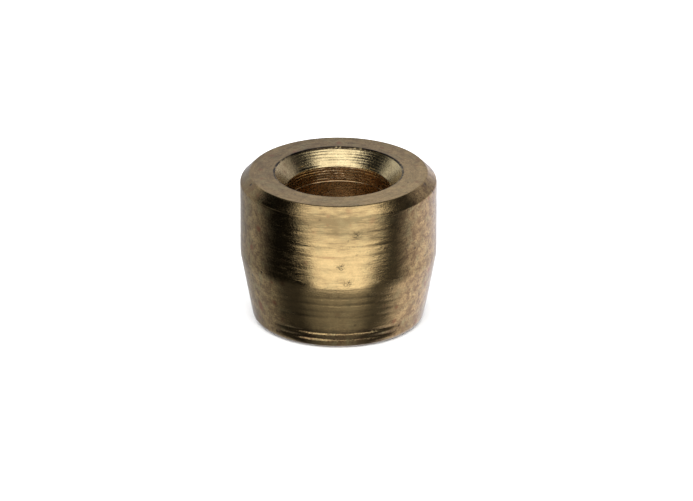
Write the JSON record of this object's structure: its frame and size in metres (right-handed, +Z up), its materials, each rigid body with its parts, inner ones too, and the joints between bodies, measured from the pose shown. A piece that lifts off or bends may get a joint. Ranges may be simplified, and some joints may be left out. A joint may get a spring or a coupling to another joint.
{
  "type": "compression olive",
  "caption": "Turned brass ring with a flared mouth, a straight barrel and a tapered nose, which a nut squeezes onto a pipe to seal a compression joint.",
  "frame": {"origin": "centre of the nose face, on the bore axis, where the olive stands", "axes": "+Z up along the bore axis, from the tapered nose to the flared mouth; X and Y are alike because the ring is turned"},
  "size_m": [0.008, 0.008, 0.0063],
  "materials": {
    "turned_brass": "as turned, with ring marks from the tool, lightly tarnished"
  },
  "bodies": {
    "root": {"olive": "turned_brass"}
  },
  "joints": []
}
